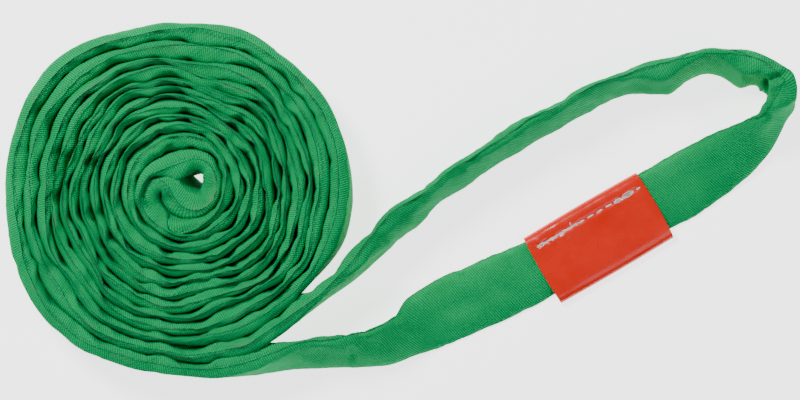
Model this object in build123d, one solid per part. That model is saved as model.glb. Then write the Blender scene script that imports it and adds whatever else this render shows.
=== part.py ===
from build123d import *

# An endless polyester round sling, wound flat on edge into a coil, with one long eye left open.
# A woven sleeve, the cover, holds many turns of load yarn. It stands on edge in the coil and rolls
# down flat where its label is sewn round it. Lengths are millimetres and angles are degrees. The
# part lies on its origin's level, +Z is up, and the origin is the middle of its outline.

import os
from math import cos, pi, radians, sin, tan

# The sleeve and the coil
COVER_WIDTH = 50.0
COVER_THICKNESS = 9.0  # on edge
COVER_FLATTENING = 1.8  # how much thinner it is where it lies flat
COVER_WALL = 1.1
COIL_RADIUS = 143.0
LAYER_PITCH = 9.35
TURNS = 6  # of each of the two strands
BIGHT_RADIUS = 8.5
LEAVING_TURN = 30.0  # how far the return leg follows the coil before it leaves it
COIL_CENTRE = (-177.0, 0.0)

# The load yarn: parallel turns in one row across the sleeve
YARN_DIAMETER = 4.2
YARN_PITCH = 4.6
YARN_TURNS = 6

# The label, the overlapped end of the sleeve under it, and the threads
LABEL_CENTRE = (341.0, -29.5)
LABEL_DIRECTION = 30.3
LABEL_LENGTH = 107.0
LABEL_WIDTH = 57.0
LABEL_WALL = 0.7
OVERLAP_LENGTH = 84.0
OVERLAP_WALL = 1.1
CLEARANCE = 0.05
JOIN_THREAD = 0.4
JOIN_ROW_PLACES = (-30.0, -24.0, 24.0, 30.0)
JOIN_ROW_LENGTH = 34.0
SEAM_THREAD = 1.0
SEAM_CLEARANCE = 0.2
LABEL_THREAD = 1.2
LABEL_STITCH_LENGTH = 4.4
LABEL_STITCH_PITCH = 5.4
LABEL_STITCHES = 18
LABEL_STITCH_INSET = 11.5

# The open eye about the coil's centre: x, y and the sleeve's roll. The roll is 0 on edge and 90 lying
# flat with its seam to the inside of the eye. The route is smooth between the middles of its runs.
LABEL_LEG = [
    (25.0, -138.5, 0.0),
    (50.0, -136.6, 5.0),
    (75.0, -131.8, 14.0),
    (100.0, -127.4, 24.0),
    (129.0, -125.4, 28.0),
    (161.0, -119.8, 33.0),
    (194.0, -107.5, 48.0),
    (234.0, -91.0, 72.0),
]
LABEL_STRETCH = (-80.0, -40.0, 0.0, 40.0, 80.0)  # along the label from its middle
BEND = [
    (438.0, 29.5, 74.0),
    (459.0, 44.0, 52.0),
    (475.0, 57.5, 34.0),
    (486.0, 72.0, 18.0),
    (491.5, 87.0, 5.0),
    (486.0, 101.0, -6.0),
    (467.0, 109.5, -13.0),
]
RETURN_LEG = [
    (434.0, 111.5, -16.0),
    (392.0, 103.5, -17.0),
    (351.0, 89.5, -16.0),
    (311.0, 71.0, -16.0),
    (274.0, 48.5, -15.0),
    (240.0, 27.5, -14.0),
    (207.0, 5.5, -13.0),
    (177.0, -20.5, -12.0),
    (148.0, -49.0, -9.0),
    (120.0, -76.0, -5.0),
]
STEPS_PER_RUN = 3  # the eye's sections between the middles of two runs
ARC_SHARE = 0.45  # how much of the shorter run beside it a thread's arc takes
FIRST_RUN = 20.0  # the last run before the coil is this long, in line with the coil

# Worked out from the sizes above
OUTER_TURN = COIL_RADIUS - COVER_THICKNESS / 2
COIL_HEIGHT = COVER_WIDTH / 2
FLAT_THICKNESS = COVER_THICKNESS - COVER_FLATTENING
OVERLAP_WIDTH = COVER_WIDTH + 2 * (CLEARANCE + OVERLAP_WALL)
OVERLAP_THICKNESS = FLAT_THICKNESS + 2 * (CLEARANCE + OVERLAP_WALL)
LABEL_THICKNESS = OVERLAP_THICKNESS + 2 * (JOIN_THREAD + 2 * CLEARANCE + LABEL_WALL)
LABEL_LIFT = (LABEL_THICKNESS - FLAT_THICKNESS) / 2
UP = Vector(0, 0, 1)


def thickness(roll):
    """The sleeve is a little flatter where it lies flat."""
    return COVER_THICKNESS - COVER_FLATTENING * sin(radians(roll)) ** 2


def centre_height(roll):
    """How high the sleeve's centre is when it rests at that roll."""
    half = thickness(roll) / 2
    return half + (COVER_WIDTH / 2 - half) * abs(cos(radians(roll)))


def half_turn(radius, centre_y, going_up):
    """A half circle of the coil: bottom to top on the left, or top to bottom on the right."""
    side = -1 if going_up else 1
    points = [(0, centre_y - radius), (side * radius, centre_y), (0, centre_y + radius)]
    if not going_up:
        points.reverse()
    return [Vector(x, y, COIL_HEIGHT) for x, y in points]


def inward_turns(first_radius, last_right_radius=None):
    """One strand of the double spiral, wound inward as half circles about two centres."""
    arcs = []
    for turn in range(TURNS):
        left = first_radius - 2 * LAYER_PITCH * turn
        right = left - LAYER_PITCH
        if turn == TURNS - 1 and last_right_radius:
            right = last_right_radius
        arcs.append(half_turn(left, 0, True))
        arcs.append(half_turn(right, left - right, False))
    return arcs


def coil_arcs():
    """The coil as three-point arcs: the label strand in, the bight and the return strand out."""
    innermost = OUTER_TURN - 2 * LAYER_PITCH * TURNS
    return_left = OUTER_TURN - LAYER_PITCH * (2 * TURNS - 1)
    return_right = (return_left + innermost) / 2 - BIGHT_RADIUS
    inward = inward_turns(OUTER_TURN)
    bight = half_turn(BIGHT_RADIUS, BIGHT_RADIUS - innermost, True)
    outward = inward_turns(OUTER_TURN - LAYER_PITCH, return_right)
    outward = [arc[::-1] for arc in outward[::-1]]
    leaving = [leaving_point(LEAVING_TURN * share) for share in (0, 0.5, 1)]
    return inward + [bight] + outward + [leaving]


def leaving_point(turned):
    """A point of the return strand's last arc, after that many degrees from the bottom."""
    angle = radians(turned)
    return Vector(OUTER_TURN * sin(angle), LAYER_PITCH - OUTER_TURN * cos(angle), COIL_HEIGHT)


def coil_edges(up=0.0):
    """The coil's line, that much above the middle of the sleeve's width."""
    lift = Vector(0, 0, up)
    return [ThreePointArc(*[point + lift for point in arc]) for arc in coil_arcs()]


def along_label(distance):
    angle = radians(LABEL_DIRECTION)
    x = LABEL_CENTRE[0] + distance * cos(angle)
    y = LABEL_CENTRE[1] + distance * sin(angle)
    return (x, y, 90.0, LABEL_LIFT)


def eye_route():
    """The eye's control points: x, y, roll and lift, from the coil's start to its end."""
    leaving = leaving_point(LEAVING_TURN)
    angle = radians(LEAVING_TURN)
    before = (leaving.X + FIRST_RUN * cos(angle), leaving.Y + FIRST_RUN * sin(angle), 0, 0)
    route = [(0, -OUTER_TURN, 0, 0)]
    route += [(*point, 0) for point in LABEL_LEG]
    route += [along_label(distance) for distance in LABEL_STRETCH]
    route += [(*point, 0) for point in BEND + RETURN_LEG]
    route += [before, (leaving.X, leaving.Y, 0, 0)]
    return route


class Station:
    """One cross-section of the eye, in a plane upright across the route."""

    def __init__(self, x, y, roll, lift, forward):
        inside = UP.cross(forward)
        self.roll = roll
        self.forward = forward
        self.centre = Vector(x, y, centre_height(roll) + lift)
        self.wide = UP * cos(radians(roll)) + inside * sin(radians(roll))

    def plane(self, across=0.0):
        """The section's plane, with its X axis across the sleeve towards the seam."""
        return Plane(origin=self.centre + self.wide * across, x_dir=self.wide, z_dir=self.forward)


def mean(a, b):
    return [(p + q) / 2 for p, q in zip(a, b)]


def bent_run(start, corner, end, shares):
    """Stations on the smooth bend from start to end that the corner pulls towards it."""
    stations = []
    for t in shares:
        values = [
            (1 - t) ** 2 * p + 2 * t * (1 - t) * q + t**2 * r
            for p, q, r in zip(start, corner, end)
        ]
        slope = [(1 - t) * (q - p) + t * (r - q) for p, q, r in zip(start, corner, end)]
        stations.append(Station(*values, Vector(slope[0], slope[1], 0).normalized()))
    return stations


def eye_stations():
    """Every section of the eye, and how many there are before each bend of its route."""
    route = eye_route()
    stations = []
    counts = []
    shares = [step / STEPS_PER_RUN for step in range(STEPS_PER_RUN)]
    for i in range(1, len(route) - 1):
        start = route[0] if i == 1 else mean(route[i - 1], route[i])
        end = route[-1] if i == len(route) - 2 else mean(route[i], route[i + 1])
        counts.append(len(stations))
        stations += bent_run(start, route[i], end, shares)
    stations += bent_run(start, route[-2], end, [1])
    return stations, counts


def cover_outline(station, shrink=0.0):
    """The sleeve's outline at a station, made smaller all round by shrink."""
    sketch = SlotOverall(COVER_WIDTH - 2 * shrink, thickness(station.roll) - 2 * shrink)
    return (station.plane() * sketch).face().outer_wire()


def lofted(outlines):
    return Solid.make_loft(outlines, ruled=True)


def cover_along(stations):
    """A length of the open eye's sleeve, hollow and open at both ends."""
    outside = lofted([cover_outline(s) for s in stations])
    inside = lofted([cover_outline(s, COVER_WALL) for s in stations])
    return outside - inside


def coiled_cover():
    """The coiled length of the sleeve, hollow and open at both ends."""
    path = Wire(coil_edges())
    plane = Plane(origin=path @ 0, x_dir=UP, z_dir=path % 0)
    hollow_width = COVER_WIDTH - 2 * COVER_WALL
    hollow_thickness = COVER_THICKNESS - 2 * COVER_WALL
    outside = sweep(plane * SlotOverall(COVER_WIDTH, COVER_THICKNESS), path)
    inside = sweep(plane * SlotOverall(hollow_width, hollow_thickness), path)
    return outside - inside


def eye_corners(across):
    """The eye's control points moved across the sleeve towards its seam."""
    route = eye_route()
    corners = []
    for before, here, after in zip(route[:1] + route, route, route[1:] + route[-1:]):
        forward = Vector(after[0] - before[0], after[1] - before[1], 0).normalized()
        station = Station(*here, forward)
        corners.append(station.centre + station.wide * across)
    return corners


def arc_radii(points):
    """The radius of the arc at each inner point, as large as its two runs allow."""
    radii = []
    for before, here, after in zip(points, points[1:], points[2:]):
        shorter = min((here - before).length, (after - here).length)
        turn = (here - before).get_angle(after - here)
        radii.append(ARC_SHARE * shorter / tan(radians(turn / 2)))
    return radii


def arced_path(points):
    """Straight runs through the points, joined by tangent arcs."""
    return FilletPolyline(*points, radius=arc_radii(points))


def yarn_turn(across):
    """One endless turn of load yarn, through the coil and round the eye."""
    corners = eye_corners(across)
    label = len(LABEL_LEG) + 1
    last = label + len(LABEL_STRETCH) - 1
    eye = arced_path((corners[: label + 1] + corners[last:])[::-1])
    coil = swept_circle(Wire(coil_edges(across)), YARN_DIAMETER)
    return coil + swept_circle(Wire(eye.edges()), YARN_DIAMETER)


def swept_circle(path, diameter):
    plane = Plane(origin=path @ 0, z_dir=path % 0)
    solid = sweep(plane * Circle(diameter / 2), path)
    share = solid.volume / (path.length * pi * diameter**2 / 4)
    print("thread", round(path.length, 1), "long, its volume over section by length", round(share, 4))
    return solid


def seam_lengths(stations, label_start, label_end):
    """The thread along the sleeve's seam: in the coil, and along the eye to each end of the label."""
    across = COVER_WIDTH / 2 + SEAM_THREAD / 2 + SEAM_CLEARANCE
    edge = [station.centre + station.wide * across for station in stations]
    return {
        "seam_thread_coiled": Wire(coil_edges(across)),
        "seam_thread_label_leg": Wire(arced_path(edge[: label_start + 1]).edges()),
        "seam_thread_return_leg": Wire(arced_path(edge[label_end:]).edges()),
    }


def label_plane():
    """Across the label at its middle, with X to the inside of the eye and Y along its thickness."""
    x, y, roll, lift = along_label(0)
    forward = Vector(cos(radians(LABEL_DIRECTION)), sin(radians(LABEL_DIRECTION)), 0)
    return Station(x, y, roll, lift, forward).plane()


def flat_tube(length, width, height, wall):
    """A straight flattened tube about the label's middle."""
    ring = SlotOverall(width, height) - SlotOverall(width - 2 * wall, height - 2 * wall)
    return label_plane() * extrude(ring, length / 2, both=True)


def on_label(across, height, along):
    """A place on the label: across it to its inner edge, above its mid-plane and along it."""
    plane = label_plane()
    return plane.origin + plane.x_dir * across + UP * height + plane.z_dir * along


def rod(start, end, diameter):
    direction = (end - start).normalized()
    return Solid.make_cylinder(diameter / 2, (end - start).length, Plane(start, z_dir=direction))


def join_row(place):
    """One row of stitching across the top of the overlapped end."""
    height = OVERLAP_THICKNESS / 2 + CLEARANCE + JOIN_THREAD / 2
    ends = [on_label(side * JOIN_ROW_LENGTH / 2, height, place) for side in (-1, 1)]
    return rod(*ends, JOIN_THREAD)


def label_thread():
    """The line of long stitches along the label's inner edge, on one thin running thread."""
    across = LABEL_WIDTH / 2 - LABEL_STITCH_INSET
    height = (LABEL_THICKNESS + LABEL_THREAD) / 2 + CLEARANCE
    half = LABEL_STITCH_PITCH * LABEL_STITCHES / 2
    thread = rod(on_label(across, height, -half), on_label(across, height, half), LABEL_THREAD / 2)
    for stitch in range(LABEL_STITCHES):
        start = LABEL_STITCH_PITCH * stitch - half
        ends = [on_label(across, height, start + more) for more in (0, LABEL_STITCH_LENGTH)]
        thread += rod(*ends, LABEL_THREAD)
    return thread


def save(name, shape):
    moved = Pos(*COIL_CENTRE, 0) * shape
    moved.label = name
    export_step(moved, f"parts/{name}.step")
    print(name, "volume", round(moved.volume))


def main():
    os.makedirs("parts", exist_ok=True)
    stations, counts = eye_stations()
    flat_start = len(LABEL_LEG) + 1
    label_start = counts[flat_start]
    label_end = counts[flat_start + len(LABEL_STRETCH) - 2]
    bend_end = counts[flat_start + len(LABEL_STRETCH) + len(BEND) - 2]
    lengths = {
        "cover_label_leg": stations[: label_start + 1],
        "cover_under_label": stations[label_start : label_end + 1],
        "cover_bend": stations[label_end : bend_end + 1],
        "cover_return_leg": stations[bend_end:],
    }
    eye_length = sum((b.centre - a.centre).length for a, b in zip(stations, stations[1:]))
    coil_length = Wire(coil_edges()).length
    print("coil", coil_length, "eye", eye_length, "round", coil_length + eye_length)
    print("coil radii", [round(ThreePointArc(*arc).radius, 1) for arc in coil_arcs()])

    save("cover_coiled", coiled_cover())
    for name, part in lengths.items():
        save(name, cover_along(part))
    overlap = flat_tube(OVERLAP_LENGTH, OVERLAP_WIDTH, OVERLAP_THICKNESS, OVERLAP_WALL)
    save("cover_overlap", overlap)
    for number, place in enumerate(JOIN_ROW_PLACES, 1):
        save(f"join_thread_{number}", join_row(place))
    for name, path in seam_lengths(stations, label_start, label_end).items():
        save(name, swept_circle(path, SEAM_THREAD))
    save("label", flat_tube(LABEL_LENGTH, LABEL_WIDTH, LABEL_THICKNESS, LABEL_WALL))
    save("label_thread", label_thread())
    for number in range(YARN_TURNS):
        across = YARN_PITCH * (number - (YARN_TURNS - 1) / 2)
        save(f"load_yarn_{number + 1}", yarn_turn(across))


main()
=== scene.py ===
"""The looks of a round sling coiled flat with one eye open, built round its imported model, in metres."""

from math import atan2, cos, hypot, pi, radians, sin

import bpy
import numpy as np
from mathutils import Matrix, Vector, noise
from numpy.linalg import norm


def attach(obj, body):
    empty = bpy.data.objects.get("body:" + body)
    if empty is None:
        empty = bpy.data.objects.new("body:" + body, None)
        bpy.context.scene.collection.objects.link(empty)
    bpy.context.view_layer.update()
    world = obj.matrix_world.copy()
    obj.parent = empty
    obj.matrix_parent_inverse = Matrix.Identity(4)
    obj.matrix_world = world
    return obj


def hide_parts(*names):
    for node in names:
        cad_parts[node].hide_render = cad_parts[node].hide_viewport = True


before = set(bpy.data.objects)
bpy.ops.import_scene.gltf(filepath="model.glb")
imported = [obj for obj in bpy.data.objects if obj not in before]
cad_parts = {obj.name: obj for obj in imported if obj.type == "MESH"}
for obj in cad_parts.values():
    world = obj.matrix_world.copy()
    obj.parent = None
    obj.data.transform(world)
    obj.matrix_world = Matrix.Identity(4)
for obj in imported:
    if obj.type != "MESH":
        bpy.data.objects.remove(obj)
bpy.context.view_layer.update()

# Sizes of the sling, as in its model
HALF_WIDTH = 0.025
HALF_THICKNESS = 0.0045
COIL_CENTRE = (-0.177, 0.0)
COIL_RADIUS = 0.143
LAYER = 0.00935
LEAVING_TURN = 30.0  # the return strand leaves the coil this many degrees past its lowest point
LABEL_CENTRE = (0.341, -0.0295)
LABEL_DIRECTION = radians(30.3)
LABEL_LENGTH = 0.107
LABEL_WIDTH = 0.057
LABEL_LIFT = 0.0012
LABEL_HALF = LABEL_WIDTH / 2 + 0.0017  # half its width as drawn, a little more than in the model
LABEL_HEIGHT = 0.0088
LABEL_WALL = 0.0007
LABEL_SQUEEZE = 0.78  # how flat it presses the sleeve
LABEL_EDGE = 0.0024  # the height of its upper side at its long edges
LABEL_OFFSET = 0.0029  # it sits this far towards the outside of the eye
STITCH_ACROSS = 0.0189  # from the label's middle to its line of thread
OVERLAP_LENGTH = 0.084
ENDS_APART = 0.008  # the sleeve's two ends, inside the overlapped length
SLEEVE_HEIGHT = 0.0048  # of the sleeve's middle where it lies flat under the label
HANK_HALF_WIDTH = 0.0105
HANK_HALF_THICKNESS = 0.0016  # at most, where the sleeve stands on edge
POINTS_PER_TURN = 24
NODE_KINDS = ("cover", "seam_thread", "load_yarn", "join_thread")  # how CAD nodes' names begin

# The open eye about the coil's centre: x, y and roll in degrees, 0 on edge and 90 lying flat
LABEL_LEG = [
    (0.025, -0.1385, 0.0),
    (0.05, -0.1366, 5.0),
    (0.075, -0.1318, 14.0),
    (0.1, -0.1274, 24.0),
    (0.129, -0.1254, 28.0),
    (0.161, -0.1205, 33.0),
    (0.185, -0.112, 44.0),
    (0.203, -0.1, 84.0),
    (0.234, -0.0862, 90.0),
]
LABEL_STRETCH = (-0.08, -0.04, 0.0, 0.04, 0.08)
BEND = [
    (0.44, 0.0268, 76.0),
    (0.462, 0.0415, 54.0),
    (0.477, 0.056, 34.0),
    (0.486, 0.072, 18.0),
    (0.4915, 0.087, 5.0),
    (0.486, 0.101, -6.0),
    (0.467, 0.1095, -13.0),
]
RETURN_LEG = [
    (0.434, 0.1115, -16.0),
    (0.392, 0.1035, -17.0),
    (0.351, 0.0895, -16.0),
    (0.311, 0.071, -16.0),
    (0.274, 0.0485, -15.0),
    (0.24, 0.0275, -14.0),
    (0.207, 0.0055, -13.0),
    (0.177, -0.0205, -12.0),
    (0.148, -0.049, -9.0),
    (0.12, -0.076, -5.0),
]
# The bight in the middle of the coil, from the inward strand's right side to the outward one's left
BIGHT = [
    (0.04, 0.002, 3.0),
    (0.0335, -0.0085, 0.0),
    (0.0245, -0.0148, -6.0),
    (0.0143, -0.0188, -12.0),
    (0.0036, -0.0198, -20.0),
    (-0.0075, -0.0168, -26.0),
    (-0.017, -0.0092, -26.0),
    (-0.023, 0.0005, -18.0),
    (-0.0228, 0.0094, -12.0),
    (-0.0172, 0.0152, -6.0),
    (-0.0096, 0.015, 4.0),
    (-0.0022, 0.0112, 12.0),
    (0.0044, 0.0022, 15.0),
    (0.0112, -0.004, 12.0),
    (0.0186, -0.0064, 4.0),
    (0.0262, -0.0034, 0.0),
    (0.0316, 0.0035, -3.0),
    (0.0336, 0.0117, -5.0),
    (0.0328, 0.0207, -6.0),
    (0.0282, 0.028, -6.0),
    (0.0208, 0.0322, -4.0),
    (0.011, 0.0316, 0.0),
    (0.0012, 0.0285, 0.0),
    (-0.009, 0.0258, 0.0),
    (-0.0188, 0.0214, 0.0),
    (-0.0262, 0.014, 0.0),
]

# Where the eye's return leg comes away from the coil, and how far the slit between them reaches
FORK = (0.116, -0.072)
FORK_REACH = 0.026

# Swellings of the eye: x, y, reach along the sleeve, extra half thickness on its left and its right
SWELLS = [
    (0.268, 0.046, 0.011, 0.0022, 0.0),
    (0.305, 0.068, 0.012, -0.0008, 0.0012),
    (0.347, 0.087, 0.013, 0.0, -0.0024),
    (0.39, 0.102, 0.016, 0.0, 0.0062),
    (0.43, 0.111, 0.01, 0.0015, -0.0038),
    (0.458, 0.111, 0.012, 0.002, 0.0066),
    (0.488, 0.092, 0.017, 0.0065, 0.0085),
    (0.476, 0.06, 0.012, 0.001, 0.003),
    (0.118, -0.1262, 0.014, 0.0, 0.0022),
    (0.15, -0.123, 0.016, 0.0012, 0.0),
]
# Waves in the sleeve's outline: x, y, reach, how far outward. The last one closes a gap in the coil
EDGE_WAVES = [
    (0.215, -0.06, 0.018, 0.003),
    (0.25, -0.044, 0.018, 0.003),
    (0.282, -0.034, 0.012, -0.0012),
    (0.17, -0.132, 0.02, 0.003),
    (0.181, -0.096, 0.008, -0.0025),
    (0.166, -0.014, 0.018, 0.0045),
    (0.16, -0.045, 0.02, 0.002),
    (0.195, -0.019, 0.014, 0.0032),
    (0.232, 0.008, 0.012, 0.002),
    (0.364, 0.088, 0.01, -0.002),
    (0.402, 0.09, 0.01, 0.0038),
    (0.463, 0.093, 0.012, 0.0044),
    (0.467, 0.072, 0.009, -0.0022),
    (0.486, 0.107, 0.008, -0.0022),
    (0.497, 0.077, 0.012, 0.0036),
    (0.42, -0.008, 0.022, 0.003),
    (-0.0777, -0.0554, 0.008, 0.0014),
]
# Creases pressed into the upper side of the eye: both ends, width, depth
CREASES = [
    (0.472, 0.082, 0.4775, 0.096, 0.003, 0.007),
    (0.4775, 0.096, 0.4915, 0.1015, 0.0026, 0.006),
    (0.47, 0.069, 0.486, 0.0665, 0.003, 0.004),
    (0.479, 0.09, 0.48, 0.074, 0.0045, 0.004),
    (0.38, 0.015, 0.408, 0.003, 0.004, 0.0022),
    (0.398, -0.016, 0.418, -0.028, 0.004, 0.002),
    (0.416, 0.018, 0.456, 0.036, 0.0055, 0.002),
    (0.279, -0.038, 0.292, -0.056, 0.0045, 0.0022),
    (0.256, -0.073, 0.29, -0.084, 0.005, 0.002),
    (0.21, -0.096, 0.25, -0.079, 0.0065, 0.0024),
    (0.2, -0.113, 0.242, -0.108, 0.005, 0.0022),
    (0.18, -0.096, 0.196, -0.114, 0.004, 0.0036),
    (0.137, -0.12, 0.143, -0.133, 0.003, 0.0026),
    (0.1, -0.1225, 0.113, -0.13, 0.0028, 0.002),
]
# How much wider the layers lie to the right of the coil's centre: degrees round it, then how much
RIGHT_SIDE = ((0, 45, 90, 270, 300, 331, 360), (0.0044, 0.0034, 0.0, 0.0, 0.0035, 0.005, 0.0044))
# Bulges and hollows of the coil's outline: degrees round it, how wide, how far outward
OUTLINE = [
    (134, 12, 0.0048),
    (258, 11, -0.005),
    (197, 14, -0.002),
    (103, 9, -0.0015),
    (229, 6, 0.002),
    (213, 9, -0.0026),
    (246, 7, -0.003),
]
# Where an inner wall in the coil buckles deepest
POCKETS = [
    (-0.092, 0.034),
    (-0.071, 0.031),
    (-0.099, 0.002),
    (-0.057, -0.033),
    (-0.067, -0.011),
    (0.004, 0.065),
    (0.047, 0.062),
    (0.055, -0.019),
    (0.041, -0.04),
    (0.065, -0.036),
    (-0.01, -0.043),
    (-0.033, 0.031),
    (-0.005, 0.037),
    (-0.018, 0.057),
]
POCKET_DEPTH = 0.0044
POCKET_REACH = 0.0085
# The hole left in the middle of the coil, beside the bight
HOLE = (0.0125, 0.02)
HOLE_REACH = 0.01
HOLE_DEPTH = 0.0055

OUTER_TURN = COIL_RADIUS - HALF_THICKNESS
RING_STEP = 0.0034  # between the cover's rings
END_HEIGHT = 0.005  # how far down the sleeve's rounded top and bottom reach
SEAM_GAP = 0.0003
THINNEST = 0.0016  # half of the thinnest pinched layer
THICKEST = 0.01  # half of the widest layer of the coil's outer part
EDGE_AT = 0.019  # layers are fitted together this far above and below the sleeve's middle

# The cloth simulation: heights across the sleeve are from -1 at its lower end to 1 at its upper end
HELD_BELOW = 0.1
FREE_ABOVE = 0.7
INNER_GROWTH = 0.045  # how much wider the cloth grows on the inner side of a layer
OUTER_GROWTH = 0.005
FRAMES = 12
FARTHEST = 0.0027  # no point moves more than this

# The weave's spacings: the ribs across the sleeve, the twill between them and the single yarns
RIB = 0.0018
TWILL = 0.0021
YARN = 0.0008


def smooth_step(low, high, value):
    share = np.clip((value - low) / (high - low), 0.0, 1.0)
    return share * share * (3 - 2 * share)


def in_scene(name, data):
    """A new object with this data, in the scene."""
    made = bpy.data.objects.new(name, data)
    bpy.context.scene.collection.objects.link(made)
    return made


# ---- the route


def strand_point(first_radius, turned):
    """A point of a strand of the double spiral, after that many degrees clockwise from the bottom."""
    half_turns = int(np.floor(turned / 180))
    radius = first_radius - LAYER * half_turns
    centre_y = 0.0 if half_turns % 2 == 0 else LAYER
    control = radius / cos(pi / POINTS_PER_TURN)
    angle = radians(turned)
    return -control * sin(angle), centre_y - control * cos(angle)


def wander(radius, angle):
    """How far the hand-wound layers stray from a true spiral, outward."""
    layer = (OUTER_TURN - radius) / LAYER
    shared = 0.0016 * sin(3 * angle + 0.6 + 0.25 * layer) + 0.0015 * sin(5 * angle + 2.0 + 0.5 * layer)
    shared += 0.0011 * sin(8 * angle + 4.1 + 0.8 * layer)
    own = 0.0009 * sin(4 * angle + 2.4 * layer) + 0.0006 * sin(9 * angle + 2.0 * layer)
    return (shared + own) * smooth_step(0.035, 0.08, radius)


def settled(radius, angle):
    """How far outward a layer has moved: the outermost ones slump wide, so the rest sit closer."""
    degrees_round = np.degrees(angle) % 360
    to_right = np.interp(degrees_round, *RIGHT_SIDE) * smooth_step(0.05, 0.11, radius)
    reached = radius + to_right
    inward = 0.0092 * smooth_step(0.045, 0.118, reached) - 0.0088 * smooth_step(0.122, 0.147, reached)
    extra = 0.0
    for place, reach, bulge in OUTLINE:
        extra += bulge * np.exp(-(((degrees_round - place) / reach) ** 2))
    return to_right - inward + extra * smooth_step(0.118, 0.134, reached)


def coil_row(first_radius, turned, outward):
    """A control point of the coil: x, y and roll. outward is -1 where outward is the right-hand side."""
    x, y = strand_point(first_radius, turned)
    radius = hypot(x, y)
    angle = atan2(y, x)
    inner = (1 - radius / COIL_RADIUS) ** 2
    stretch = 1 + (wander(radius, angle) + settled(radius, angle)) / radius
    lean = 4.0 * sin(2 * angle + 1.0 + 30 * radius) + 3.0 * sin(5 * angle + 45 * radius)
    roll = -outward * lean * smooth_step(0.035, 0.07, radius)
    return (x * stretch + 0.01 * inner, y * stretch + 0.012 * inner, roll)


def along_label(distance):
    x = LABEL_CENTRE[0] + distance * cos(LABEL_DIRECTION)
    y = LABEL_CENTRE[1] + distance * sin(LABEL_DIRECTION)
    return (x, y, 90.0)


def route_rows():
    """The whole loop's control points, from the middle of the label through the coil and back to it."""
    step = 360 / POINTS_PER_TURN
    turned_in = np.arange(step / 2, 2060, step)
    turned_out = np.arange(1882.5, -LEAVING_TURN, -step)
    second = OUTER_TURN - LAYER
    leaving = coil_row(second, -LEAVING_TURN, -1)
    direction = radians(LEAVING_TURN)
    before = (leaving[0] + 0.02 * cos(direction), leaving[1] + 0.02 * sin(direction), 0.0)
    label = [along_label(distance) for distance in LABEL_STRETCH]
    rows = label[2::-1]
    rows += LABEL_LEG[::-1]
    rows += [coil_row(OUTER_TURN, turned, 1) for turned in turned_in]
    rows += BIGHT
    rows += [coil_row(second, turned, -1) for turned in turned_out]
    rows += [(leaving[0], leaving[1], 0.0), before]
    rows += RETURN_LEG[::-1] + BEND[::-1]
    rows += label[:1:-1]
    return rows


def centre_height(roll):
    """How high the sleeve's centre is when it rests at that roll."""
    half = HALF_THICKNESS - 0.0009 * sin(radians(roll)) ** 2
    return half + (HALF_WIDTH - half) * abs(cos(radians(roll)))


def label_lift(x, y):
    """The sleeve is a little off the ground where the label goes under it."""
    along = (x - LABEL_CENTRE[0]) * cos(LABEL_DIRECTION) + (y - LABEL_CENTRE[1]) * sin(LABEL_DIRECTION)
    off_line = hypot(x - LABEL_CENTRE[0], y - LABEL_CENTRE[1])
    return LABEL_LIFT if abs(along) < 0.07 and off_line < 0.075 else 0.0


def smooth_line(points):
    """The points of a NURBS line that has these control points."""
    curve = bpy.data.curves.new("route", "CURVE")
    curve.dimensions = "3D"
    curve.resolution_u = 8
    spline = curve.splines.new("NURBS")
    spline.points.add(len(points) - 1)
    for target, point in zip(spline.points, points):
        target.co = (*point, 1.0)
    spline.order_u = 3
    spline.use_endpoint_u = True
    route = in_scene("route", curve)
    mesh = bpy.data.meshes.new_from_object(route.evaluated_get(bpy.context.evaluated_depsgraph_get()))
    line = np.array([vertex.co[:] for vertex in mesh.vertices])
    bpy.data.objects.remove(route)
    bpy.data.curves.remove(curve)
    bpy.data.meshes.remove(mesh)
    return line


def about_coil(points):
    """Where points are in plan, from the coil's centre."""
    return points[..., :2] - np.array(COIL_CENTRE)


class Route:
    """The sling's centreline at the middle of each ring, with its roll and its directions."""

    def __init__(self, step):
        rows = route_rows()
        points = [
            (x + COIL_CENTRE[0], y + COIL_CENTRE[1], centre_height(roll) + label_lift(x, y))
            for x, y, roll in rows
        ]
        line = smooth_line(points)
        rolls = smooth_line([(roll / 100, 0.0, 0.0) for x, y, roll in rows])[:, 0] * 100
        along = np.concatenate([[0], np.cumsum(norm(np.diff(line, axis=0), axis=1))])
        self.length = along[-1]
        eye_ends = (0.4, self.length - 0.74)  # beyond these the rings are twice as close
        breaks = (ENDS_APART / 2, *eye_ends, self.length - ENDS_APART / 2)
        runs = []
        for start, end, share in zip(breaks, breaks[1:], (0.5, 1.0, 0.5)):
            runs.append(np.linspace(start, end, int((end - start) / (step * share)), endpoint=False))
        self.s = np.concatenate(runs)
        self.centre = np.stack([np.interp(self.s, along, line[:, i]) for i in range(3)], axis=1)
        self.roll = np.radians(np.interp(self.s, along, rolls))
        self.place = about_coil(self.centre)
        self.radius = norm(self.place, axis=1)
        self.from_label = np.minimum(self.s, self.length - self.s)
        self.set_directions()

    def set_directions(self):
        forward = np.gradient(self.centre, axis=0)
        forward[:, 2] = 0
        self.forward = forward / norm(forward, axis=1)[:, None]
        up = np.array([0.0, 0.0, 1.0])
        right = np.cross(self.forward, up)
        self.wide = np.cos(self.roll)[:, None] * up + np.sin(self.roll)[:, None] * right
        self.left = np.cross(self.wide, self.forward)
        self.flat = np.sin(self.roll) ** 2


def smoothed(values, reach):
    """Values round the loop, averaged over a few neighbours each way."""
    kernel = np.hanning(2 * reach + 3)[1:-1]
    padded = np.concatenate([values[-reach:], values, values[:reach]])
    return np.convolve(padded, kernel / kernel.sum(), mode="valid")


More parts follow.
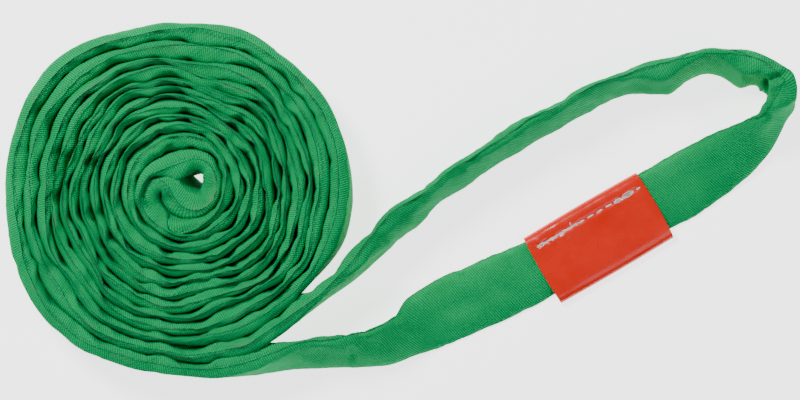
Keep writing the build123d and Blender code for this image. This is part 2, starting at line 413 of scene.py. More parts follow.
def room_beside(route, height):
    """Half the gap to the next layer on the left and on the right, at that height across the sleeve."""
    line = (route.centre + route.wide * height)[:, :2]
    forward = route.forward[:, :2]
    left = np.stack([-forward[:, 1], forward[:, 0]], axis=1)
    count = len(line)
    index = np.arange(count)
    rooms = [np.full(count, 1.0), np.full(count, 1.0)]
    block = 400  # rows at a time, to spare memory
    for start in range(0, count, block):
        rows = slice(start, min(start + block, count))
        offset = line[None, :, :] - line[rows, None, :]
        ahead = np.abs(np.einsum("ijk,ik->ij", offset, forward[rows]))
        aside = np.einsum("ijk,ik->ij", offset, left[rows])
        apart = np.abs(index[None, :] - index[rows, None])
        apart = np.minimum(apart, count - apart)
        near = (ahead < 0.75 * RING_STEP) & (apart > 0.048 / RING_STEP)
        for side, room in zip((1, -1), rooms):
            values = np.where(near & (aside * side > 0.001), aside * side, 1.0)
            room[rows] = values.min(axis=1) / 2
    return [smoothed(np.minimum(room, 0.02), 2) for room in rooms]


# ---- meshes


def tube_faces(rings, around):
    """Quads of a tube that is open at both ends."""
    i = np.arange(rings - 1)[:, None]
    j = np.arange(around)[None, :]
    next_j = (j + 1) % around
    corners = [i * around + next_j, (i + 1) * around + next_j, (i + 1) * around + j, i * around + j]
    return np.stack([np.broadcast_to(c, (rings - 1, around)) for c in corners], axis=-1).reshape(-1, 4)


def mesh_object(name, vertices, faces):
    """A smooth-shaded object from points and faces, in the scene."""
    mesh = bpy.data.meshes.new(name)
    mesh.from_pydata(np.asarray(vertices).tolist(), [], [list(face) for face in faces])
    mesh.update()
    mesh.polygons.foreach_set("use_smooth", [True] * len(mesh.polygons))
    return in_scene(name, mesh)


def finished(piece, slot, material, *nodes):
    """Give a piece its material, and let it stand for its CAD nodes. The slot is not used."""
    piece.data.materials.append(material)
    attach(piece, "root")
    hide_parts(*nodes)
    return piece


def thread_mesh(name, lines, sides=6):
    """One mesh of many round threads, each a list of points with its radius, tapering at both ends."""
    vertices = []
    faces = []
    for points, radius in lines:
        points = np.asarray(points)
        forward = np.gradient(points, axis=0)
        forward /= np.maximum(norm(forward, axis=1)[:, None], 1e-9)
        aside = np.cross(forward, (0.0, 0.0, 1.0))
        steep = norm(aside, axis=1) < 0.2
        aside[steep] = np.cross(forward[steep], (0.0, 1.0, 0.0))
        aside /= norm(aside, axis=1)[:, None]
        above = np.cross(aside, forward)
        count = len(points)
        share = np.linspace(0, 1, count)
        radii = radius * np.minimum(1.0, 0.25 + 6 * np.minimum(share, 1 - share))
        first = len(vertices)
        turns = np.linspace(0, 2 * pi, sides, endpoint=False)
        for k in range(count):
            for turn in turns:
                vertices.append(points[k] + radii[k] * (cos(turn) * aside[k] + sin(turn) * above[k]))
        faces += (tube_faces(count, sides) + first).tolist()
        faces.append(list(range(first, first + sides)))
        faces.append(list(range(first + (count - 1) * sides, first + count * sides))[::-1])
    return mesh_object(name, vertices, faces)


# ---- the sleeve


def section_points():
    """The sleeve's section. Each point has its rounded end, -1, 0 or 1, shares across and out, and side."""
    top = np.radians([0, 9, 20, 34, 50, 68, 90])
    shares = [(1, cos(a), sin(a)) for a in top]
    shares += [(0, share, 1) for share in (0.62, 0.3, 0.0, -0.3, -0.62)]
    shares += [(-1, cos(a), sin(a)) for a in np.radians([90, 60, 30, 0])]
    left = [(end, a, b, 1) for end, a, b in shares]
    right = [(end, a, b, -1) for end, a, b in shares[1:-1]]
    return left + right[::-1]


def room_at(rooms, share):
    """Half the sleeve's thickness on one side at a height from -1 to 1, with the pockets near its top."""
    top, low, pocket = rooms
    return low + (top - low) * smooth_step(-1, 1, share) - pocket * smooth_step(0.45, 0.95, share)


def section_offsets(section, flat, rooms):
    """How far a point of the section is across and out, round a whole loop at once."""
    end, across_share, out, side = section
    straight = HALF_WIDTH - END_HEIGHT
    if end:
        across = end * (straight + END_HEIGHT * across_share)
    else:
        across = straight * across_share
    share = across / HALF_WIDTH
    edge_out = side * room_at(rooms, share) * out
    arch = (1 - abs(share) ** 3.4) ** 0.8
    if side > 0:
        flat_out = -0.0026 + 0.0058 * arch + 0.0005 * out
    else:
        flat_out = -0.0036 + 0.0006 * (1 - out)
    return across, edge_out * (1 - flat) + flat_out * flat


def buckle(x, y):
    """Which part of a buckle a place is in, 0 at its sharp fold, and how strong the buckle is."""
    phase = noise.noise(Vector((x * 17, y * 17, 1.5)))
    strength = np.clip(noise.noise(Vector((x * 30, y * 30, 20.0))) * 1.5 + 0.65, 0.15, 1.0)
    return phase, strength


def boundary_shift(x, y):
    """How far outward the line between two layers strays at a place about the coil's centre."""
    broad = noise.noise(Vector((x * 34, y * 34, 4.5)))
    radius = hypot(x, y)
    layered = noise.noise(Vector((x * 16, y * 16, radius * 110)))
    phase, strength = buckle(x, y)
    fold = max(0.0, 1 - abs(phase) / 0.22) ** 1.3
    shift = 0.0011 * broad + 0.0046 * layered - 0.0036 * strength * fold
    return shift * smooth_step(0.03, 0.05, radius) * (1 - smooth_step(0.144, 0.162, radius))


def pocket_depth(x, y):
    """How far the buckled inner wall of a layer stands off its neighbour there."""
    phase, strength = buckle(x, y)
    depth = 0.0032 * strength * max(0.0, 1 - abs(phase - 0.34) / 0.2)
    for pocket_x, pocket_y in POCKETS:
        away = hypot(x - pocket_x, y - pocket_y) / POCKET_REACH
        depth = max(depth, POCKET_DEPTH * max(0.0, 1 - away**1.3))
    radius = hypot(x, y)
    return depth * smooth_step(0.03, 0.042, radius) * (1 - smooth_step(0.137, 0.142, radius))


def layer_rooms(route, height, share):
    """Half the sleeve's thickness on its left and right at that height, and how deep its pockets are."""
    from_fork = norm(route.place - FORK, axis=1)
    forked = np.exp(-((from_fork / FORK_REACH) ** 2))
    thickest = THICKEST + 0.004 * (1 - smooth_step(0.042, 0.062, route.radius))
    rooms = []
    for side, gap in zip((1, -1), room_beside(route, height)):
        free = (gap > 0.012 - 0.006 * forked) & (route.radius > 0.045)
        freedom = smoothed(free.astype(float), 6)  # 1 where no layer is near and the sleeve keeps its shape
        room = HALF_THICKNESS * freedom + np.minimum(gap - 0.00008, thickest) * (1 - freedom)
        edge = route.place + side * route.left[:, :2] * room[:, None]
        outward = np.sign((route.left[:, :2] * edge).sum(axis=1)) * side
        pocket = np.zeros_like(room)
        for i, (x, y) in enumerate(edge):
            radius = hypot(x, y)
            if radius > 0.165:
                continue
            room[i] += share * (1 - 0.5 * freedom[i]) * outward[i] * boundary_shift(x, y)
            if radius > 0.11:
                wider = (1 - forked[i]) * (1 - smooth_step(0.146, 0.165, radius))
                room[i] += 0.0035 * freedom[i] * wider
            from_hole = hypot(x - HOLE[0], y - HOLE[1]) / HOLE_REACH
            room[i] -= share * HOLE_DEPTH * np.exp(-(from_hole**2))
            if outward[i] < 0 and radius > 0.02:
                pocket[i] = pocket_depth(x, y) * (1 - freedom[i])
        room = np.clip(room, THINNEST, thickest + 0.003)
        rooms.append((room, np.minimum(pocket, room - THINNEST)))
    return rooms


def add_swells(route, rooms):
    """The eye's sleeve is fuller in some places and pinched in others."""
    for x, y, reach, left, right in SWELLS:
        away = norm(route.place - (x, y), axis=1)
        nearest = route.s[np.argmin(away)]
        share = np.exp(-(((route.s - nearest) / reach) ** 2))
        for side, extra in zip(rooms, (left, right)):
            side[0] += extra * share
            side[1] += extra * share


def build_cover(route):
    """The whole sleeve, as a grid of points: its rings, and each ring's points from the seam round."""
    sections = section_points()
    tops = layer_rooms(route, EDGE_AT, 1.0)
    lows = layer_rooms(route, -EDGE_AT, 0.45)
    rooms = [[top[0], low[0], top[1]] for top, low in zip(tops, lows)]
    add_swells(route, rooms)
    rings = []
    for section in sections:
        across, out = section_offsets(section, route.flat, rooms[0] if section[3] > 0 else rooms[1])
        rings.append(route.centre + route.wide * across + route.left * out[:, None])
    grid = np.stack(rings, axis=1)
    lower_wide_layers(grid, route, rooms)
    add_folds(grid, route)
    press_creases(grid, route)
    press_under_label(grid, route)
    grid[:, :, 2] = np.maximum(grid[:, :, 2], 0.0)
    grid = crumpled(route, grid, sections, rooms)
    pull_edges(grid, route)
    add_seam_ridge(grid, route)
    open_grid = np.concatenate([grid, grid[:, :1]], axis=1)
    open_grid[:, 0] += route.left * SEAM_GAP / 2
    open_grid[:, -1] -= route.left * SEAM_GAP / 2
    faces = tube_faces(len(route.s), open_grid.shape[1])
    faces = faces.reshape(len(route.s) - 1, -1, 4)[:, :-1].reshape(-1, 4)
    cover = mesh_object("cover", open_grid.reshape(-1, 3), faces)
    add_cloth_map(cover, route, grid)
    return cover, grid, rooms


def lower_wide_layers(grid, route, rooms):
    """A layer stands lower where it bulges and higher where it is pinched."""
    width = rooms[0][0] + rooms[1][0]
    drop = np.clip((width - 2 * HALF_THICKNESS) * 0.6, -0.0015, 0.0048) * (1 - route.flat)
    share = smooth_step(0.0, 0.05, grid[:, :, 2])
    grid[:, :, 2] -= drop[:, None] * share


def add_folds(grid, route):
    """Shallow wrinkles that run down and along the sleeve, and its small unevenness."""
    count, around = grid.shape[:2]
    in_eye = smooth_step(0.14, 0.18, route.radius)
    for i in range(count):
        s = route.s[i]
        swell = noise.noise(Vector((s * 38, 0.0, 31.0)))
        lean = 0.0022 * noise.noise(Vector((s * 32, 4.0, 40.0))) * (1 - route.flat[i])
        for j in range(around):
            turn = j / around
            place = Vector((s * 55 + 2.0 * turn, turn * 7, 3.0))
            fold = 1 - 2.6 * abs(noise.noise(Vector((s * 74 + 3.0 * turn, turn * 5, 8.0))))
            small = noise.noise(Vector((s * 170, turn * 22, 8.0)))
            push = 0.0007 * noise.noise(place) + 0.00055 * fold * (0.6 + swell) + 0.00022 * small
            push *= 1 + 1.2 * in_eye[i]
            offset = grid[i, j] - route.centre[i]
            high = (offset * route.wide[i]).sum() / HALF_WIDTH
            out = (offset * route.left[i]).sum()
            sign = 1.0 if out > 0 else -1.0
            crown = max(0.0, abs(high) - 0.55) / 0.45
            grid[i, j] += route.left[i] * sign * push * (1 - 0.6 * crown)
            grid[i, j] += route.wide[i] * push * crown * (1 - 0.6 * in_eye[i])
            grid[i, j] += route.left[i] * lean * max(0.0, high) ** 2


def press_under_label(grid, route):
    """The label's wrapping squeezes the sleeve a little flatter."""
    half = LABEL_LENGTH / 2
    beyond = smooth_step(half - 0.004, half + 0.012, route.from_label)
    squeeze = LABEL_SQUEEZE + (1 - LABEL_SQUEEZE) * beyond
    grid[:, :, 2] = LABEL_LIFT + (grid[:, :, 2] - LABEL_LIFT) * squeeze[:, None]


def pull_edges(grid, route):
    """Waves in the sleeve's outline, pushed out or pulled in."""
    outward = grid[:, :, :2] - route.centre[:, None, :2]
    outward /= np.maximum(norm(outward, axis=2), 0.003)[:, :, None]
    total = np.zeros(grid.shape[:2])
    for x, y, reach, amount in EDGE_WAVES:
        away = norm(about_coil(grid) - (x, y), axis=2)
        total += amount * np.exp(-((away / reach) ** 2))
    grid[:, :, :2] += outward * total[:, :, None]


def press_creases(grid, route):
    """Fold lines in the eye, pressed in towards the middle of the sleeve."""
    places = about_coil(grid)
    in_eye = (places[:, :, 0] > 0.09) & (route.from_label < 0.72)[:, None]
    centres = np.broadcast_to(route.centre[:, None, :], grid.shape)
    for x1, y1, x2, y2, width, depth in CREASES:
        start = np.array((x1, y1))
        along = np.array((x2 - x1, y2 - y1))
        share = np.clip(((places - start) @ along) / (along @ along), 0, 1)
        away = norm(places - start - share[:, :, None] * along, axis=2)
        ends = 0.35 + 0.65 * np.sin(pi * np.clip(share, 0.05, 0.95))
        upper = smooth_step(-0.003, 0.003, grid[:, :, 2] - centres[:, :, 2])
        press = depth * np.exp(-((away / width) ** 2)) * ends
        shoulder = -0.3 * depth * np.exp(-(((away - 2.1 * width) / (0.9 * width)) ** 2)) * ends
        amount = (press + shoulder) * upper * in_eye
        inward = centres - grid
        inward[:, :, 2] = np.minimum(inward[:, :, 2], 0) - 0.006
        inward /= norm(inward, axis=2)[:, :, None]
        grid += inward * amount[:, :, None]


def cloth_tube(route, grid, sections):
    """The sleeve as a closed tube, with weights for what is held and for what hardly grows."""
    count, around = grid.shape[:2]
    tube = mesh_object("tube", grid.reshape(-1, 3), tube_faces(count, around))
    height = np.array([across if end == 0 else end for end, across, out, side in sections])
    hold = 1.0 - smooth_step(HELD_BELOW, FREE_ABOVE, height)
    held = tube.vertex_groups.new(name="held")
    for j in range(around):
        if hold[j] > 0:
            held.add([i * around + j for i in range(count)], float(hold[j]), "REPLACE")
    near_label = np.nonzero(route.from_label < LABEL_LENGTH / 2)[0]
    held.add([int(i) * around + j for i in near_label for j in range(around)], 1.0, "REPLACE")
    left_is_outward = (route.left[:, :2] * route.place).sum(axis=1) > 0
    calm = 0.5 * smooth_step(0.06, 0.12, route.radius) + 0.5 * smooth_step(0.14, 0.16, route.radius)
    outer = tube.vertex_groups.new(name="outer_walls")
    for i in range(count):
        for j, section in enumerate(sections):
            is_outer = left_is_outward[i] == (section[3] > 0)
            outer.add([i * around + j], 1.0 if is_outer else float(calm[i]), "REPLACE")
    return tube


def set_cloth(tube):
    """Stiff cloth without weight that grows by its vertex groups."""
    modifier = tube.modifiers.new("cloth", "CLOTH")
    cloth = modifier.settings
    cloth.quality = 5
    cloth.mass = 0.15
    cloth.tension_stiffness = 15
    cloth.compression_stiffness = 15
    cloth.shear_stiffness = 5
    cloth.bending_stiffness = 40
    cloth.tension_damping = 5
    cloth.compression_damping = 5
    cloth.air_damping = 2
    cloth.vertex_group_mass = "held"
    cloth.vertex_group_shrink = "outer_walls"
    cloth.shrink_min = -INNER_GROWTH
    cloth.shrink_max = -OUTER_GROWTH
    cloth.effector_weights.gravity = 0
    modifier.collision_settings.use_collision = False
    modifier.collision_settings.use_self_collision = False


def crumpled(route, grid, sections, rooms):
    """The sleeve after its cloth has grown a little and buckled, most on the inside of each bend."""
    tube = cloth_tube(route, grid, sections)
    set_cloth(tube)
    scene = bpy.context.scene
    for frame_number in range(1, FRAMES + 1):
        scene.frame_set(frame_number)
    evaluated = tube.evaluated_get(bpy.context.evaluated_depsgraph_get())
    moved = np.empty(grid.size)
    evaluated.data.vertices.foreach_get("co", moved)
    mesh = tube.data
    bpy.data.objects.remove(tube)
    bpy.data.meshes.remove(mesh)
    scene.frame_set(1)
    return kept_in_room(route, grid, moved.reshape(grid.shape), rooms)


def kept_in_room(route, grid, moved, rooms):
    """Each point stays near where it started, and in its layer's own room but for a little slack."""
    change = moved - grid
    reach = norm(change, axis=2, keepdims=True)
    change *= np.minimum(1.0, FARTHEST / np.maximum(reach, 1e-9))
    result = grid + change
    for j in range(grid.shape[1]):
        offset = result[:, j] - route.centre
        across = (offset * route.wide).sum(axis=1)
        out = (offset * route.left).sum(axis=1)
        share = smooth_step(-1, 1, across / HALF_WIDTH)
        left, right = [room[1] + (room[0] - room[1]) * share for room in rooms]
        slack = 0.0004 + 0.02 * route.flat
        kept = np.clip(out, -right - slack, left + slack)
        result[:, j] += route.left * (kept - out)[:, None]
    result[:, :, 2] = np.maximum(result[:, :, 2], 0.0)
    return result


def seam_column(route, s):
    """Which of a ring's points the seam runs through, as it strays about the crest."""
    stray = 1.7 * noise.noise(Vector((s * 9, 2.0, 50.0))) + 0.9 * noise.noise(Vector((s * 24, 5.0, 60.0)))
    to_label = route.length - s
    behind = smooth_step(0.21, 0.27, to_label) - smooth_step(0.27, 0.31, to_label)
    return stray * (1 - 0.7 * behind) + 6.5 * behind


def on_cover(grid, ring, column, above=0.0):
    """A place on the sleeve at a fraction of a ring and of a column, a little above its surface."""
    count, around = grid.shape[:2]
    i = int(min(max(ring, 0), count - 2))
    j = int(np.floor(column))
    u = ring - i
    v = column - j
    near, far = grid[i], grid[i + 1]
    a, b = near[j % around], near[(j + 1) % around]
    c, d = far[j % around], far[(j + 1) % around]
    point = (a * (1 - v) + b * v) * (1 - u) + (c * (1 - v) + d * v) * u
    normal = np.cross(b - a + d - c, c - a + d - b)
    normal /= max(norm(normal), 1e-9)
    if normal @ (point - grid[i].mean(axis=0)) < 0:
        normal = -normal
    return point + normal * above


def add_seam_ridge(grid, route):
    """The two cloth edges sewn together stand up as a low ridge, a little lower on one side."""
    count, around = grid.shape[:2]
    for i in range(count):
        middle = seam_column(route, route.s[i])
        for step in range(int(middle) - 6, int(middle) + 7):
            away = step - middle
            ridge = 0.0007 * np.exp(-((away / 0.8) ** 2)) - 0.00035 * np.exp(-(((away + 1.7) / 0.8) ** 2))
            outward = grid[i, step % around] - route.centre[i]
            grid[i, step % around] += outward / norm(outward) * ridge


def add_cloth_map(piece, route, grid):
    """A map in metres of cloth: along the sleeve, and round it from the seam."""
    count, around = grid.shape[:2]
    steps = norm(grid - np.roll(grid, 1, axis=1), axis=2).mean(axis=0)
    v = np.concatenate([[0], np.cumsum(steps[1:]), [steps.sum()]])
    u = route.s
    layer = piece.data.uv_layers.new(name="cloth")
    i = np.repeat(np.arange(count - 1), around)
    j = np.tile(np.arange(around), count - 1)
    order = [(0, 1), (1, 1), (1, 0), (0, 0)]
    corners = np.stack([np.stack([u[i + a], v[j + b]], axis=1) for a, b in order], axis=1)
    layer.data.foreach_set("uv", corners.reshape(-1))


def seam_stitches(route, grid):
    """One zigzag thread that sews the sleeve shut, all the way round."""
    lines = []
    step = 0.0019
    distances = np.arange(LABEL_LENGTH / 2, route.length - LABEL_LENGTH / 2, step)
    points = []
    for number, distance in enumerate(distances):
        ring = np.interp(distance, route.s, np.arange(len(route.s)))
        zig = 0.55 if number % 2 else -0.55
        points.append(on_cover(grid, ring, seam_column(route, distance) - 1.2 + zig, 0.0001))
    for start in range(0, len(points) - 1, 40):
        lines.append((points[start : start + 41], 0.00026))
    return thread_mesh("seam_stitches", lines, 5)


def load_yarn_hank(route, rooms):
    """The load yarn's turns as one flattened hank in the sleeve."""
    around = 24
    turns = np.linspace(0, 2 * pi, around, endpoint=False)
    left, right = [np.minimum(top - pocket, low) for top, low, pocket in rooms]
    half = np.minimum((left + right) * 0.175, HANK_HALF_THICKNESS) * (1 - route.flat) + 0.0009 * route.flat
    middle = (left - right) / 2 * (1 - route.flat) - 0.0012 * route.flat
    grid = []
    for turn in turns:
        across = HANK_HALF_WIDTH * cos(turn)
        lobes = 1 + 0.12 * cos(6 * pi * across / HANK_HALF_WIDTH)
        out = middle + half * sin(turn) * lobes
        grid.append(route.centre + route.wide * across + route.left * out[:, None])
    grid = np.stack(grid, axis=1)
    faces = tube_faces(len(route.s), around).tolist()
    last = (len(route.s) - 1) * around
    faces.append(list(range(around)))
    faces.append(list(range(last, last + around))[::-1])
    return mesh_object("load_yarn_hank", grid.reshape(-1, 3), faces)


# ---- the label


def on_label(along, across, height):
    """A place about the label's middle: along it to the bend, across it to the inside of the eye."""
    c, s = cos(LABEL_DIRECTION), sin(LABEL_DIRECTION)
    x = COIL_CENTRE[0] + LABEL_CENTRE[0] + along * c - across * s
    y = COIL_CENTRE[1] + LABEL_CENTRE[1] + along * s + across * c
    return np.array((x, y, height))


def label_top(along, across):
    """The height of the label's upper side, drawn down along its stitching and puckered beside it."""
    share = across / LABEL_HALF
    crown = LABEL_EDGE + (LABEL_HEIGHT - LABEL_EDGE) * (1 - abs(share) ** 9) ** 0.5
    off_stitch = across - STITCH_ACROSS
    crown -= 0.0011 * np.exp(-((off_stitch / 0.0022) ** 2)) * (1 - smooth_step(0.046, 0.05, abs(along)))
    pucker = noise.noise(Vector((along * 150, across * 95, 70.0)))
    broad = noise.noise(Vector((along * 45, across * 60, 80.0)))
    loose_end = np.exp(-(((along + 0.034) / 0.016) ** 2))
    near = np.exp(-((off_stitch / 0.0065) ** 2))
    crown += near * (0.0003 + 0.001 * loose_end) * pucker * 1.4 + 0.0003 * broad
    return max(crown, 0.0012)


def build_label():
    """A vinyl band wrapped flat round the sleeve, with a sharp fold along both edges."""
    rows, columns = 150, 84
    shares = np.sin(np.linspace(-pi / 2, pi / 2, columns))
    ring_faces = tube_faces(rows + 1, 2 * columns)
    vertices = []
    for row in range(rows + 1):
        along = LABEL_LENGTH * (row / rows - 0.5)
        bow = 0.0006 * sin(pi * row / rows)
        for share in shares:
            across = share * (LABEL_HALF + bow)
            end_bow = 0.0012 * (1 - share**2) * np.sign(along) * abs(2 * along / LABEL_LENGTH) ** 6
            top = label_top(along, share * LABEL_HALF)
            vertices.append(on_label(along + end_bow, across - LABEL_OFFSET, top))
        for share in shares[::-1]:
            across = share * (LABEL_HALF + bow)
            low = 0.0011 + 0.0003 * noise.noise(Vector((along * 40, across * 40, 90.0)))
            vertices.append(on_label(along, across - LABEL_OFFSET, low))
    label = mesh_object("vinyl_label", vertices, ring_faces)
    wall = label.modifiers.new("wall", "SOLIDIFY")
    wall.thickness = LABEL_WALL
    wall.offset = -1.0
    return label


def label_stitching():
    """White thread along the label: a frayed run, single stitches, then fat loose loops."""
    lines = []
    rng = np.random.default_rng(7)

    def strand(start, end, bow, lift, radius, shake=0.0):
        points = []
        shift = rng.uniform(-1, 1) * shake
        for share in np.linspace(0, 1, 13):
            along = start + (end - start) * share
            across = STITCH_ACROSS + bow * sin(pi * share) + shift
            across += shake * 0.8 * noise.noise(Vector((along * 420, bow * 9000 + shift * 3000, 5.0)))
            height = label_top(along, across) + 0.0003 + lift * sin(pi * share)
            points.append(on_label(along, across - LABEL_OFFSET, height))
        lines.append((points, radius))

    for start in np.arange(-0.048, -0.012, 0.0031):
        for number in range(5):
            first = start + rng.uniform(-0.0012, 0.0012)
            length = rng.uniform(0.0045, 0.0075)
            bow = rng.uniform(-0.001, 0.001)
            strand(first, first + length, bow, rng.uniform(0.0001, 0.0007), 0.00032, 0.0005)
    for start in (-0.0095, -0.001, 0.0078, 0.0165):
        for bow in (-0.0003, 0.0003):
            strand(start, start + 0.0078, bow, 0.0004, 0.00036)
    for start, length, bow in ((0.0245, 0.0085, 0.0014), (0.0322, 0.0125, 0.0021)):
        for share in (-1.0, -0.55, 0.15, 0.8):
            strand(start, start + length, bow * share, 0.0009, 0.00034, 0.0003)
    for bow in (-0.0005, 0.0, 0.0005):
        strand(0.0462, 0.0505, bow, 0.0004, 0.00032)
    for number in range(4):
        tip = rng.uniform(0.0028, 0.0048)
        points = []
        for share in np.linspace(0, 1, 8):
            along = -0.0148 + share * rng.uniform(0.0004, 0.0012)
            across = STITCH_ACROSS + share * tip
            height = label_top(along, across) + 0.0004 + 0.0008 * share
            points.append(on_label(along, across - LABEL_OFFSET, height))
        lines.append((points, 0.00028))
    return thread_mesh("label_stitching", lines)


def build_overlap():
    """The sleeve's tucked end: a short length of the same cloth round it, under the label."""
    sections = section_points()
    rows = 26
    vertices = []
    for row in range(rows + 1):
        along = OVERLAP_LENGTH * (row / rows - 0.5)
        for section in sections:
            across, out = section_offsets(section, np.ones(1), np.zeros((3, 1)))
            high = SLEEVE_HEIGHT + LABEL_SQUEEZE * out[0] + 0.0004 * section[3] - 0.0008
            vertices.append(on_label(along, -across * 1.02, high))
    return mesh_object("overlap", vertices, tube_faces(rows + 1, len(sections)))


def join_stitches():
    """Four rows of stitches across the top of the overlapped end."""
    lines = []
    for along in (-0.03, -0.024, 0.024, 0.03):
        for number in range(10):
            first = -0.017 + 0.0034 * number
            points = []
            for share in np.linspace(0, 1, 7):
                across = first + 0.0027 * share
                points.append(on_label(along, across, SLEEVE_HEIGHT + 0.0032 + 0.0002 * sin(pi * share)))
            lines.append((points, 0.0002))
    return thread_mesh("join_stitches", lines)


# ---- materials


class Nodes:
    """A short way to write a material's nodes."""

    def __init__(self, name):
        self.material = bpy.data.materials.new(name)
        self.material.use_nodes = True
        self.tree = self.material.node_tree
        self.surface = self.tree.nodes["Principled BSDF"]
        self.position = self.node("ShaderNodeTexCoord").outputs["Object"]

    def node(self, kind, inputs=None, **settings):
        made = self.tree.nodes.new(kind)
        for key, value in settings.items():
            setattr(made, key, value)
        for key, value in (inputs or {}).items():
            self.put(made.inputs[key], value)
        return made

    def put(self, socket, value):
        """Link another node's output to a socket, or set the socket itself."""
        if isinstance(value, bpy.types.NodeSocket):
            self.tree.links.new(value, socket)
        else:
            socket.default_value = value

    def finished(self, values):
        """The material, once its surface has these values."""
        for key, value in values.items():
            self.put(self.surface.inputs[key], value)
        return self.material

    def math(self, operation, a, b=0.0):
        return self.node("ShaderNodeMath", {0: a, 1: b}, operation=operation).outputs[0]

    def noise(self, scale, detail=3.0, roughness=0.55):
        inputs = {"Scale": scale, "Detail": detail, "Roughness": roughness, "Vector": self.position}
        return self.node("ShaderNodeTexNoise", inputs).outputs["Fac"]

    def ramp(self, value, low, high, low_to=0.0, high_to=1.0):
        inputs = {"Value": value, "From Min": low, "From Max": high, "To Min": low_to, "To Max": high_to}
        return self.node("ShaderNodeMapRange", inputs).outputs[0]

    def waves(self, distance, spacing, shift=0.0):
        """A wave from 0 to 1 and back, once in each spacing."""
        phase = self.math("ADD", self.math("MULTIPLY", distance, 2 * pi / spacing), shift)
        return self.ramp(self.math("SINE", phase), -1.0, 1.0)

    def mix(self, share, first, second):
        return self.node("ShaderNodeMix", {0: share, 6: first, 7: second}, data_type="RGBA").outputs[2]

    def bump(self, height, strength, distance, under=None):
        inputs = {"Height": height, "Strength": strength, "Distance": distance}
        if under is not None:
            inputs["Normal"] = under
        return self.node("ShaderNodeBump", inputs).outputs[0]


def green_cloth():
    """Woven polyester: fine cross ribs on a twill ground with painted shade in their hollows, lighter green
    specks, and wear along its seam.
    """
    n = Nodes("green_woven_polyester")
    cloth = n.node("ShaderNodeUVMap", uv_map="cloth").outputs[0]
    parts = n.node("ShaderNodeSeparateXYZ", {0: cloth})
    along, round_it = parts.outputs[0], parts.outputs[1]
    wobble = n.math("MULTIPLY", n.noise(160.0, 2.0), 1.6)
    ribs = n.waves(n.math("ADD", along, n.math("MULTIPLY", round_it, 0.35)), RIB, wobble)
    twill = n.waves(n.math("SUBTRACT", round_it, n.math("MULTIPLY", along, 0.45)), TWILL, wobble)
    dots = n.math("MULTIPLY", ribs, twill)
    weave = n.math("ADD", n.math("MULTIPLY", ribs, 0.45), n.math("MULTIPLY", dots, 0.45))
    weave = n.math("ADD", weave, n.math("MULTIPLY", n.waves(round_it, YARN), 0.15))
    blotch = n.ramp(n.noise(24.0, 4.0), 0.3, 0.72)
    base = n.mix(blotch, (0.0, 0.39, 0.113, 1.0), (0.0, 0.49, 0.146, 1.0))
    # painted shade: the colour goes dark green in the weave's hollows, where its bump is lowest
    shaded = n.mix(n.ramp(weave, 0.1, 0.75, 0.72, 0.0), base, (0.0, 0.15, 0.04, 1.0))
    # lighter green specks at random, which also break up the worn patches along the seam
    specks = n.noise(420.0, 3.0, 0.7)
    near_seam = n.ramp(n.math("ABSOLUTE", round_it), 0.0, 0.0035, 1.0, 0.0)
    wear_patch = n.ramp(n.noise(38.0, 4.0, 0.6), 0.52, 0.7)
    wear = n.math("MULTIPLY", near_seam, n.math("MULTIPLY", wear_patch, n.ramp(specks, 0.3, 0.7)))
    worn = n.mix(n.math("MULTIPLY", wear, 0.6), shaded, (0.2, 0.19, 0.14, 1.0))
    values = {
        # the base colour is mixed towards a lighter green at the specks
        "Base Color": n.mix(n.ramp(specks, 0.55, 0.78, 0.0, 0.12), worn, (0.01, 0.5, 0.18, 1.0)),
        "Roughness": n.ramp(weave, 0.0, 1.0, 0.8, 0.6),
        "Sheen Weight": 0.02,
        "Sheen Roughness": 0.45,
        "Sheen Tint": (0.05, 0.9, 0.4, 1.0),
        "Specular IOR Level": 0.03,
        "Normal": n.bump(n.noise(300.0), 0.35, 0.0006, n.bump(weave, 0.9, 0.0005)),
    }
    return n.finished(values)


def red_vinyl():
    """Glossy flexible vinyl with a fine leather-like emboss and faint scuffs."""
    n = Nodes("red_vinyl")
    patches = n.noise(30.0)
    base = n.mix(n.ramp(patches, 0.3, 0.7), (0.7, 0.014, 0.003, 1.0), (0.8, 0.022, 0.006, 1.0))
    scuffs = n.ramp(n.noise(900.0, 2.0, 0.6), 0.62, 0.8, 0.0, 0.2)
    waves = n.bump(n.noise(70.0, 2.0), 0.4, 0.0008)
    values = {
        "Base Color": n.mix(scuffs, base, (0.85, 0.08, 0.05, 1.0)),
        "Roughness": n.ramp(patches, 0.3, 0.7, 0.2, 0.34),
        "Specular IOR Level": 0.22,
        "Coat Weight": 0.18,
        "Coat Roughness": 0.1,
        "Normal": n.bump(n.noise(1500.0, 2.0), 0.15, 0.0001, waves),
    }
    return n.finished(values)


def spun_thread(name, colour, shaded, twist=0.0011):
    """Twisted sewing thread or yarn, with painted shade between its plies."""
    n = Nodes(name)
    parts = n.node("ShaderNodeSeparateXYZ", {0: n.position})
    total = n.math("ADD", n.math("ADD", parts.outputs[0], parts.outputs[1]), parts.outputs[2])
    plies = n.waves(total, twist)
    fuzz = n.noise(1200.0, 2.0, 0.6)
    # painted shade: the colour goes to the shaded one in the grooves between the plies, where their bump is
    # low
    lit = n.ramp(n.math("MULTIPLY", plies, fuzz), 0.1, 0.5)
    values = {
        "Base Color": n.mix(lit, shaded, colour),
        "Roughness": n.ramp(fuzz, 0.3, 0.7, 0.55, 0.8),
        "Sheen Weight": 0.2,
        "Normal": n.bump(n.math("ADD", plies, fuzz), 0.5, 0.0002),
    }
    return n.finished(values)


def ground_material():
    """A pale studio floor with a faint grain."""
    n = Nodes("pale_ground")
    values = {
        "Base Color": n.mix(n.noise(60.0), (0.93, 0.93, 0.93, 1.0), (0.95, 0.95, 0.95, 1.0)),
        "Roughness": 0.9,
        "Emission Color": (1.0, 1.0, 1.0, 1.0),
        "Emission Strength": 2.4,
    }
    return n.finished(values)


# ---- the scene


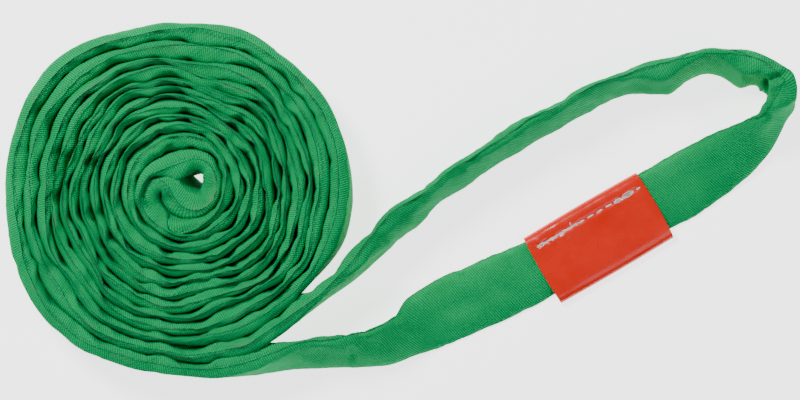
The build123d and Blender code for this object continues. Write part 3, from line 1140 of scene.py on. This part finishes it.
def place_camera():
    """High above the middle, with a long lens."""
    data = bpy.data.cameras.new("camera")
    data.sensor_width = 36.0
    data.lens = 139.2
    data.clip_end = 20.0
    camera = in_scene("camera", data)
    camera.location = (0.0024, -0.0008, 2.545)
    bpy.context.scene.camera = camera


def area_light(name, place, size, power):
    """A round soft light that points at the middle of the scene."""
    data = bpy.data.lights.new(name, "AREA")
    data.shape = "DISK"
    data.size = size
    data.energy = power
    light = in_scene(name, data)
    light.location = place
    light.rotation_euler = (-Vector(place)).to_track_quat("-Z", "Y").to_euler()


def light_scene():
    """A white studio, brightest overhead, with a key light and a fill light."""
    world = bpy.data.worlds.new("studio")
    world.use_nodes = True
    tree = world.node_tree
    background = tree.nodes["Background"]
    direction = tree.nodes.new("ShaderNodeTexCoord")
    parts = tree.nodes.new("ShaderNodeSeparateXYZ")
    brightness = tree.nodes.new("ShaderNodeMapRange")
    tree.links.new(direction.outputs["Generated"], parts.inputs[0])
    tree.links.new(parts.outputs[2], brightness.inputs["Value"])
    for name, value in (("From Min", 0.7), ("From Max", 0.98), ("To Min", 1.2), ("To Max", 1.9)):
        brightness.inputs[name].default_value = value
    tree.links.new(brightness.outputs[0], background.inputs["Strength"])
    bpy.context.scene.world = world
    area_light("key", (-1.0, 1.1, 1.7), 0.7, 62.0)
    area_light("fill", (1.2, -0.6, 1.6), 1.4, 16.0)


def lay_ground():
    size = 3.0
    corners = [(-size, -size), (size, -size), (size, size), (-size, size)]
    ground = mesh_object("ground", [(x, y, -0.0002) for x, y in corners], [(0, 1, 2, 3)])
    ground.data.materials.append(ground_material())


def main():
    place_camera()
    route = Route(RING_STEP)
    cover, grid, rooms = build_cover(route)
    nodes = {kind: [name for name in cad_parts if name.startswith(kind)] for kind in NODE_KINDS}
    cloth = green_cloth()
    sleeve_nodes = [name for name in nodes["cover"] if name != "cover_overlap"]
    finished(cover, "cover_fabric", cloth, *sleeve_nodes)
    overlap = finished(build_overlap(), "cover_fabric", cloth, "cover_overlap")
    seam_thread = spun_thread("green_thread", (0.05, 0.26, 0.13, 1.0), (0.02, 0.09, 0.04, 1.0))
    seam = finished(seam_stitches(route, grid), "seam_thread", seam_thread, *nodes["seam_thread"])
    white_thread = spun_thread("white_thread", (0.96, 0.95, 0.92, 1.0), (0.6, 0.58, 0.55, 1.0))
    hank_yarn = spun_thread("white_yarn", (0.8, 0.79, 0.74, 1.0), (0.4, 0.39, 0.35, 1.0), 0.004)
    hank = finished(load_yarn_hank(route, rooms), "load_yarn", hank_yarn, *nodes["load_yarn"])
    label = finished(build_label(), "label_vinyl", red_vinyl(), "label")
    stitching = finished(label_stitching(), "label_thread", white_thread, "label_thread")
    joins = finished(join_stitches(), "join_thread", white_thread, *nodes["join_thread"])
    light_scene()
    lay_ground()


main()
